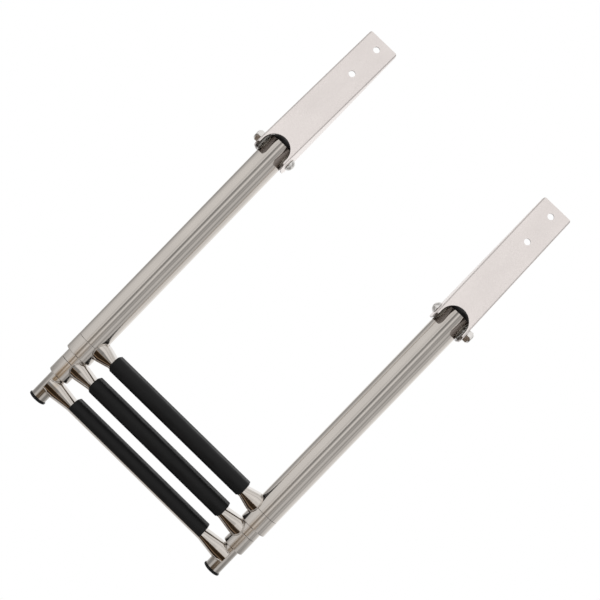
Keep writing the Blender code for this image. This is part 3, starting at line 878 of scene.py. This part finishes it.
class LADDER_OT_collars(bpy.types.Operator):
    """Turn the collars at the tubes' ends, their bushes and the guide bushes of the sliding tubes"""
    bl_idname = "ladder.collars"
    bl_label = "Collars and bushes"

    def execute(self, context):
        for section, inside in (("outer", "middle"), ("middle", "inner")):
            self.make_collar(context, section, inside)
            self.make_collar_bush(context, section, inside)
            self.make_guide_bush(context, inside)
        return {"FINISHED"}

    def make_collar(self, context, section, inside):
        """Steel ring with a chamfered lower edge and an inward lip."""
        settings = context.scene.ladder_rails
        radius, low, high = ring_size(section + "_collar")
        bore = rail_size(section)[0] - wall_of(settings, section)
        lip_bore = rail_size(inside)[0] + settings.lip_clearance
        lip_top = low + settings.lip
        outline = [(radius, high), (radius, low + settings.chamfer), (radius - settings.chamfer, low),
                   (lip_bore, low), (lip_bore, lip_top), (bore, lip_top), (bore, high), (radius, high)]
        collar = rail_ring(section + "_collar", "steel", outline, context)
        place_pair(collar, section + "_collar", settings.edge, BODY_OF[section],
                   rail_steel(context, section))

    def make_collar_bush(self, context, section, inside):
        """Nylon sleeve between a collar and the tube that slides in it."""
        settings = context.scene.ladder_rails
        radius, low, high = ring_size(section + "_collar_bush")
        bore = rail_size(inside)[0] + settings.clearance
        outline = [(radius, high), (radius, low), (bore, low), (bore, high), (radius, high)]
        self.place_bush(context, section, section + "_collar_bush", outline)

    def make_guide_bush(self, context, section):
        """Nylon cap over a sliding tube's upper end."""
        settings = context.scene.ladder_rails
        radius, low, high = ring_size(section + "_guide_bush")
        tube_radius, tube_top, _ = rail_size(section)
        shelf = tube_top + settings.clearance
        skirt_bore = tube_radius + settings.clearance
        rim = tube_radius - wall_of(settings, section)
        outline = [(radius, high), (radius, low), (skirt_bore, low), (skirt_bore, shelf),
                   (rim, shelf), (rim, high), (radius, high)]
        self.place_bush(context, section, section + "_guide_bush", outline)

    def place_bush(self, context, section, node, outline):
        """Turn a nylon bush and finish it."""
        bush = rail_ring(node, "nylon", outline, context)
        place_pair(bush, node, NYLON_EDGE, BODY_OF[section], nylon(context))


class LADDER_OT_end_caps(bpy.types.Operator):
    """Mould the black plugs in the feet of the rails and in the upper ends of the outer tubes"""
    bl_idname = "ladder.end_caps"
    bl_label = "End caps"

    def execute(self, context):
        settings = context.scene.ladder_rails
        low, high = node_box("left_end_cap")
        radius = (high.x - low.x) / 2.0
        tube_radius, _, tube_end = rail_size("inner")
        stem = tube_radius - settings.inner_wall - settings.clearance
        shoulder = tube_end - settings.clearance
        rim = shoulder - CAP_RIM
        outline = [(stem - STEM_CHAMFER, high.z), (stem, high.z - STEM_CHAMFER), (stem, shoulder),
                   (radius, shoulder)]
        fullness = 0.8
        for step in range(DOME_STEPS + 1):
            turn = 0.5 * pi * step / DOME_STEPS
            outline.append((radius * cos(turn) ** fullness, rim - (rim - low.z) * sin(turn)))
        outline[-1] = (0.0, low.z)
        cap = rail_ring("end_cap", "plastic", outline, context)
        material = finish(context, "black_plastic", cap_plastic)
        place_pair(cap, "end_cap", TURNED_EDGE, "inner_section", material)
        self.make_rail_plug(settings, material)
        return {"FINISHED"}

    def make_rail_plug(self, settings, material):
        """Low domed plug that closes an outer tube above the swing bolt."""
        radius, top, _ = rail_size("outer")
        stem = radius - settings.outer_wall - PLUG_FIT
        rim = radius - PLUG_INSET
        seat = top + PLUG_FIT
        outline = [(stem, top - PLUG_STEM), (stem, seat), (rim, seat)]
        outline += dome(rim, settings.plug_height, seat + PLUG_RIM, DOME_STEPS)
        left = turned("left_rail_plug", (-RAIL_X, 0.0, 0.0), UP, outline, settings.segments)
        for plug in (left, mirrored(left, "right_rail_plug")):
            soften(plug, TURNED_EDGE)
            place_piece(plug, "outer_section", material, [])


# ---------------------------------------------------------------- rungs

def pressed_bar(name, radius, spread, half_length, height, segments):
    """Round bar along X pressed flat: its front half and its back half are pulled apart."""
    bar = drill(name, (0.0, 0.0, height), radius, 2.0 * half_length, ALONG_RUNGS, segments)
    edit(bar)
    for direction in (-1.0, 1.0):
        pick(bar, "VERT", lambda vertex: vertex.co.y * direction > MERGE)
        bpy.ops.transform.translate(value=(0.0, direction * spread, 0.0))
    finish_editing()
    return bar


def rung_sizes(section, settings):
    """Height of a rung's middle, its flat depth, and its depth and height at the rails."""
    node = RUNG_OF[section] + "_rung"
    low, high = node_box(node)
    end_low, end_high = node_box(node, lambda co: abs(co.x) > settings.flare_start + MM)
    flat_low, flat_high = node_box(node, lambda co: abs(co.x) < settings.flare_start + MM)
    middle = (low.z + high.z) / 2.0
    return middle, flat_high.y - flat_low.y, end_high.y - end_low.y, end_high.z - end_low.z


class LADDER_OT_rungs(bpy.types.Operator):
    """Press, flare and cope the three rungs and weld them to their rails"""
    bl_idname = "ladder.rungs"
    bl_label = "Rungs and welds"

    def execute(self, context):
        settings = context.scene.ladder_rungs
        for section in SECTIONS:
            middle, flat_depth, depth, height = rung_sizes(section, settings)
            flat = settings.flat_height
            rung = pressed_bar(RUNG_OF[section] + "_rung_steel", flat / 2.0,
                               (flat_depth - flat) / 2.0, settings.flare_start, middle,
                               settings.segments)
            cope = rail_size(section)[0] + COPE_FIT
            flare_end = RAIL_X - cope - COPE_NECK
            end = node_box(RUNG_OF[section] + "_rung")[1].x
            self.flare(rung, settings.flare_start, flare_end, depth / flat_depth, height / flat)
            self.flare(rung, flare_end, end, 1.0, 1.0)
            for sign in SIDES:
                cut(rung, drill("cope", (sign * RAIL_X, 0.0, middle), cope, 3.0 * height, UP,
                                context.scene.ladder_rails.segments))
            welds = self.weld(rung, section, cope, settings)
            soften(rung, 0.0)
            # The rung's finish has the painted gold reflection beside its welds too.
            material = finish(context, "polished_rung_" + section, polished_steel,
                              (6.0, 1400.0, 1400.0), (RAIL_X - cope, 0.0, -middle), 9.0 * MM)
            place_piece(rung, BODY_OF[section], material,
                        [RUNG_OF[section] + "_rung"])
            bead = finish(context, "weld_bead", weld_metal)
            place_piece(welds, BODY_OF[section], bead, [])
        return {"FINISHED"}

    def flare(self, rung, start, stop, deeper, taller):
        """Draw both ends out in equal steps to a larger section."""
        for sign in SIDES:
            edit(rung)
            pick(rung, "FACE", lambda face: face.normal.x * sign > FACING)
            middle = Vector((0.0, 0.0, node_middle(rung)))
            for step in range(1, FLARE_STEPS + 1):
                move = (sign * (stop - start) / FLARE_STEPS, 0.0, 0.0)
                bpy.ops.mesh.extrude_region_move(TRANSFORM_OT_translate={"value": move})
                stretch = [1.0] + [(1.0 + (whole - 1.0) * step / FLARE_STEPS)
                                   / (1.0 + (whole - 1.0) * (step - 1) / FLARE_STEPS)
                                   for whole in (deeper, taller)]
                bpy.ops.transform.resize(value=stretch, center_override=middle)
            finish_editing()

    def weld(self, rung, section, cope, settings):
        """Bead round the coped ends, drawn along the edge where the rung meets the rail."""
        edit(rung)
        pick(rung, "FACE", lambda face: all(
            abs(Vector((abs(corner.co.x) - RAIL_X, corner.co.y)).length - cope) < WELD_REACH
            for corner in face.verts))
        bpy.ops.mesh.region_to_loop()
        bpy.ops.mesh.duplicate()
        bpy.ops.mesh.separate(type="SELECTED")
        finish_editing()
        bead = [piece for piece in bpy.context.selected_objects if piece != rung][0]
        activate(bead)
        bead.name = RUNG_OF[section] + "_rung_welds"
        bead.data.name = bead.name
        bpy.ops.object.convert(target="CURVE")
        bead.data.bevel_depth = settings.weld_radius
        bead.data.bevel_resolution = 3
        bead.data.use_fill_caps = True
        bpy.ops.object.convert(target="MESH")
        soften(bead, 0.0)
        return bead


def node_middle(piece):
    """Height of the middle of a piece that is being shaped."""
    heights = [vertex.co.z for vertex in bmesh.from_edit_mesh(piece.data).verts]
    return (min(heights) + max(heights)) / 2.0


class LADDER_OT_treads(bpy.types.Operator):
    """Mould the rubber treads that clip over the flats of the rungs"""
    bl_idname = "ladder.treads"
    bl_label = "Treads"

    def execute(self, context):
        settings = context.scene.ladder_rungs
        clearance = context.scene.ladder_rails.clearance
        material = finish(context, "black_rubber", tread_rubber)
        for section in SECTIONS:
            middle, flat_depth, _, _ = rung_sizes(section, settings)
            spread = (flat_depth - settings.flat_height) / 2.0
            half = settings.tread_half
            tread = pressed_bar(RUNG_OF[section] + "_rung_tread_rubber", settings.tread_radius, spread,
                                half, middle + settings.tread_rise, settings.segments)
            short = section == "inner"
            edit(tread)
            pick(tread, "EDGE", lambda edge: len(edge.link_faces) == 2
                 and edge.calc_face_angle() > SMOOTH_ANGLE)
            round_edges(settings.tread_end, TREAD_END_STEPS)
            finish_editing()
            if not short:
                self.slant(tread, middle, settings)
            cut(tread, pressed_bar("flat", settings.flat_height / 2.0 + clearance, spread, 2.0 * half,
                                   middle, settings.segments))
            slot = settings.tread_slot / 2.0
            below = middle - 2.0 * settings.tread_radius
            cut(tread, box_piece("slot", (-2.0 * half, -slot, below), (2.0 * half, slot, middle)))
            if short:
                cut(tread, box_piece("short_lip", (-2.0 * half, -flat_depth, below),
                                     (2.0 * half, 0.0, middle - settings.short_lip)))
            soften(tread, SOFT_EDGE)
            place_piece(tread, BODY_OF[section], material,
                        [RUNG_OF[section] + "_rung_tread"])
        return {"FINISHED"}

    def slant(self, tread, middle, settings):
        """Cut the lower corner off both ends."""
        drop = settings.tread_radius - settings.lip_cut_top
        for sign in SIDES:
            edit(tread)
            corner = (sign * settings.tread_half, 0.0, middle - settings.lip_cut_top)
            outwards = Vector((sign * drop, 0.0, -settings.lip_cut)).normalized()
            bpy.ops.mesh.bisect(plane_co=corner, plane_no=outwards, use_fill=True, clear_outer=True,
                                threshold=MERGE)
            close_up()


# ---------------------------------------------------------------- studio

# The surroundings are lists of stops. Round the ladder a stop's place is in degrees, from behind it
# over its left and its front to its right; in height it goes from 0 straight below to 1 straight above.
WALLS = ((-180.0, 1.0), (-152.0, 0.95), (-138.0, 0.34), (-122.0, 0.44), (-100.0, 0.68), (-80.0, 0.80),
         (-40.0, 0.80), (-28.0, 0.66), (-22.0, 0.86), (-13.0, 0.26), (-6.0, 0.30), (0.0, 0.62),
         (7.0, 0.92), (14.0, 0.60), (20.0, 0.34), (30.0, 0.50), (36.0, 0.38), (46.0, 0.66),
         (56.0, 0.62), (64.0, 0.36), (76.0, 0.60), (88.0, 0.50), (100.0, 0.80), (122.0, 0.84),
         (142.0, 1.0), (180.0, 1.0))
DIM_SIDES = ((-180.0, 1.0), (-130.0, 0.9), (-108.0, 0.45), (-78.0, 0.45), (-50.0, 1.0), (50.0, 1.0),
             (78.0, 0.40), (108.0, 0.40), (130.0, 0.9), (180.0, 1.0))
FRONT = ((-180.0, 0.0), (-38.0, 0.0), (-20.0, 1.0), (20.0, 1.0), (38.0, 0.0), (180.0, 0.0))
CEILING = ((0.60, 0.86), (0.66, 0.93), (0.75, 0.90), (0.90, 0.60), (1.0, 0.60))
OPEN_ROOM = ((0.0, 0.75), (0.30, 0.62), (0.42, 0.60)) + CEILING
BRONZE_GROUND = ((0.0, (0.40, 0.35, 0.32)), (0.02, (0.02, 0.014, 0.01)), (0.08, (0.02, 0.014, 0.01)),
                 (0.125, (0.30, 0.21, 0.14)), (0.17, (0.03, 0.02, 0.01)), (0.37, (0.035, 0.02, 0.01)),
                 (0.398, (0.06, 0.045, 0.03)), (0.411, (0.75, 0.47, 0.18)),
                 (0.422, (0.50, 0.43, 0.35)), (0.44, 0.70)) + CEILING
EYE_LEVEL = ((0.0, 0.0), (0.395, 0.0), (0.425, 1.0), (0.57, 1.0), (0.65, 0.0))


def all_round(stops):
    """Stops whose places are in degrees, for a ramp that runs from 0 to 1."""
    return [(0.5 + turn / 360.0, brightness) for turn, brightness in stops]


class LADDER_OT_studio(bpy.types.Operator):
    """Set up the camera, the pale floor and the soft light"""
    bl_idname = "ladder.studio"
    bl_label = "Studio"

    def execute(self, context):
        settings = context.scene.ladder_stage
        self.make_camera(context, settings)
        self.make_floor(settings)
        self.make_light(context, settings)
        self.make_surroundings(context)
        context.scene.view_settings.view_transform = "Standard"
        return {"FINISHED"}

    def make_camera(self, context, settings):
        """Camera in front of the ladder, turned so that the rails lean across the picture."""
        deselect()
        bpy.ops.object.camera_add(location=settings.camera_place)
        camera = context.object
        camera.name = "studio_camera"
        yaw, pitch = -settings.camera_yaw, settings.camera_pitch
        sight = Vector((sin(yaw) * cos(pitch), cos(yaw) * cos(pitch), sin(pitch)))
        level = sight.to_track_quat("-Z", "Y")
        camera.rotation_mode = "QUATERNION"
        camera.rotation_quaternion = level @ Quaternion(UP, settings.camera_roll)
        camera.data.lens = settings.lens
        camera.data.clip_start = 0.01
        context.scene.camera = camera

    def make_floor(self, settings):
        """Round pale floor under the ladder, with an inset ring of flat faces round its rim."""
        foot = CAD_BOX[0].z - settings.floor_drop
        floor = new_piece("studio_floor", bpy.ops.mesh.primitive_circle_add, vertices=96,
                          radius=settings.floor_radius, fill_type="NGON", location=(0.0, 0.0, foot))
        edit(floor)
        bpy.ops.mesh.inset(thickness=settings.floor_radius / 4.0)
        finish_editing()
        floor.data.materials.append(floor_paint("floor_paint", settings))
        floor.visible_glossy = False

    def make_light(self, context, settings):
        """Wide soft light overhead."""
        deselect()
        bpy.ops.object.light_add(type="SUN", location=(0.0, 0.0, 1.5))
        light = context.object
        light.name = "overhead_light"
        light.data.energy = settings.sun
        light.data.angle = settings.softness

    def make_surroundings(self, context):
        """White backdrop with the soft panels and the darker room that the steel reflects."""
        world = bpy.data.worlds.new("studio_surroundings")
        context.scene.world = world
        world.use_nodes = True
        world.node_tree.nodes.clear()
        room = Tree(world.node_tree)
        direction = room.node("ShaderNodeTexCoord", {}).outputs["Generated"]
        parts = room.node("ShaderNodeSeparateXYZ", {0: direction}).outputs
        turn = room.number("ARCTAN2", parts["X"], room.number("MULTIPLY", parts["Y"], -1.0))
        turn = room.spread(turn, 0.0, 1.0, -pi, pi)
        height = room.spread(parts["Z"], 0.0, 1.0, -1.0, 1.0)
        in_front = room.ramp(turn, all_round(FRONT))
        tone = room.blend(in_front, room.ramp(height, OPEN_ROOM), room.ramp(height, BRONZE_GROUND))
        tone = room.blend(1.0, tone, room.ramp(turn, all_round(DIM_SIDES)), "MULTIPLY")
        tone = room.blend(room.ramp(height, EYE_LEVEL), tone, room.ramp(turn, all_round(WALLS)))
        seen = room.node("ShaderNodeLightPath", {}).outputs["Is Camera Ray"]
        tone = room.blend(seen, tone, (1.0, 1.0, 1.0))
        background = room.node("ShaderNodeBackground", {"Color": tone}).outputs[0]
        room.node("ShaderNodeOutputWorld", {"Surface": background})


# ---------------------------------------------------------------- sidebar

OPERATORS = (LADDER_OT_brackets, LADDER_OT_swing_bolts, LADDER_OT_tubes, LADDER_OT_collars,
             LADDER_OT_end_caps, LADDER_OT_rungs, LADDER_OT_treads, LADDER_OT_studio)
GROUPS = (("ladder_brackets", LadderBracketSettings), ("ladder_rails", LadderRailSettings),
          ("ladder_rungs", LadderRungSettings), ("ladder_finishes", LadderFinishSettings),
          ("ladder_stage", LadderStageSettings))


class LADDER_PT_sidebar(bpy.types.Panel):
    """Sizes, finishes and building steps of the ladder"""
    bl_idname = "LADDER_PT_sidebar"
    bl_label = "Boarding ladder"
    bl_space_type = "VIEW_3D"
    bl_region_type = "UI"
    bl_category = "Ladder"

    def draw(self, context):
        for operator in OPERATORS:
            self.layout.operator(operator.bl_idname)
        for name, group in GROUPS:
            box = self.layout.box()
            box.label(text=name.replace("_", " ").capitalize())
            for setting in group.__annotations__:
                box.prop(getattr(context.scene, name), setting)


def register():
    """Make the settings, the operators and the panel known to Blender."""
    for name, group in GROUPS:
        bpy.utils.register_class(group)
        setattr(bpy.types.Scene, name, PointerProperty(type=group))
    for operator in OPERATORS:
        bpy.utils.register_class(operator)
    bpy.utils.register_class(LADDER_PT_sidebar)


def unregister():
    """Take everything back out of Blender."""
    bpy.utils.unregister_class(LADDER_PT_sidebar)
    for operator in reversed(OPERATORS):
        bpy.utils.unregister_class(operator)
    for name, group in reversed(GROUPS):
        delattr(bpy.types.Scene, name)
        bpy.utils.unregister_class(group)


def main():
    """Build the ladder and its studio."""
    register()
    bpy.ops.ladder.brackets()
    bpy.ops.ladder.swing_bolts()
    bpy.ops.ladder.tubes()
    bpy.ops.ladder.collars()
    bpy.ops.ladder.end_caps()
    bpy.ops.ladder.rungs()
    bpy.ops.ladder.treads()
    bpy.ops.ladder.studio()


if __name__ == "__main__":
    main()
